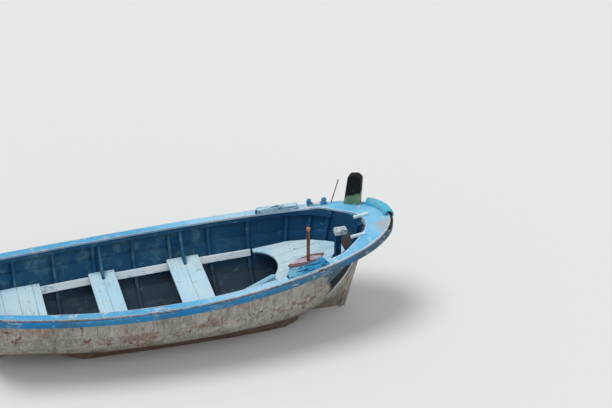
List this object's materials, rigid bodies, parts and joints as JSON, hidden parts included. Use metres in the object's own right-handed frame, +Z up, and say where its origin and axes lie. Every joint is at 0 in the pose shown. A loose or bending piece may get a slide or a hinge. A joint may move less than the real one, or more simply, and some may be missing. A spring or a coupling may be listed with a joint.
{
  "type": "rowing boat",
  "caption": "Old clinker-built wooden rowing boat with a broad blue nose, worn navy inside, a horseshoe bow platform, thwarts and a split-hose fender.",
  "frame": {"origin": "on the ground plane, midway along the boat's whole length and on its centreline", "axes": "+X to the bow, +Y to port, +Z up"},
  "size_m": [4.1363, 1.5804, 1.3144],
  "materials": {
    "hull_paint": "weathered matt paint on planks",
    "inside_paint": "worn navy paint on wood",
    "light_paint": "worn pale blue paint on wood",
    "pale_paint": "worn pale paint on boards",
    "cap_paint": "chalky light blue paint on wood",
    "rail_paint": "worn mid blue paint on wood",
    "bare_wood": "bare weathered wood",
    "black_paint": "cracked black paint with a green foot",
    "hose": "faded cyan hose",
    "black_rubber": "matt black rubber",
    "rusty_iron": "rusted"
  },
  "bodies": {
    "root": {"keel": "hull_paint", "stem": "hull_paint", "sternpost": "hull_paint", "transom": "hull_paint", "strake_1_garboard": "hull_paint", "strake_2_second": "hull_paint", "strake_3_bilge": "hull_paint", "strake_4_fourth": "hull_paint", "strake_5_fifth": "hull_paint", "strake_6_sheer": "hull_paint", "frames": "inside_paint", "inwales": "inside_paint", "risers": "light_paint", "platform_risers": "inside_paint", "cap_nose": "cap_paint", "cap_sides": "cap_paint", "cap_stern": "cap_paint", "rub_rail": "rail_paint", "nose_block": "rail_paint", "thwart_fore": "light_paint", "thwart_aft": "light_paint", "stern_seat": "light_paint", "thwart_knees": "inside_paint", "bottom_boards": "bare_wood", "bilge_runners": "bare_wood", "bow_platform": "pale_paint", "side_bench": "pale_paint", "bench_rail": "light_paint", "tow_post": "inside_paint", "tow_post_head": "light_paint", "nose_cleats": "cap_paint", "timberhead": "black_paint", "nose_fender": "hose", "fender_strip": "black_rubber", "rowlock_blocks": "cap_paint", "rowlock_pad": "bare_wood", "thole_pin": "rusty_iron", "fairlead": "cap_paint", "iron_rod": "rusty_iron"}
  },
  "joints": []
}
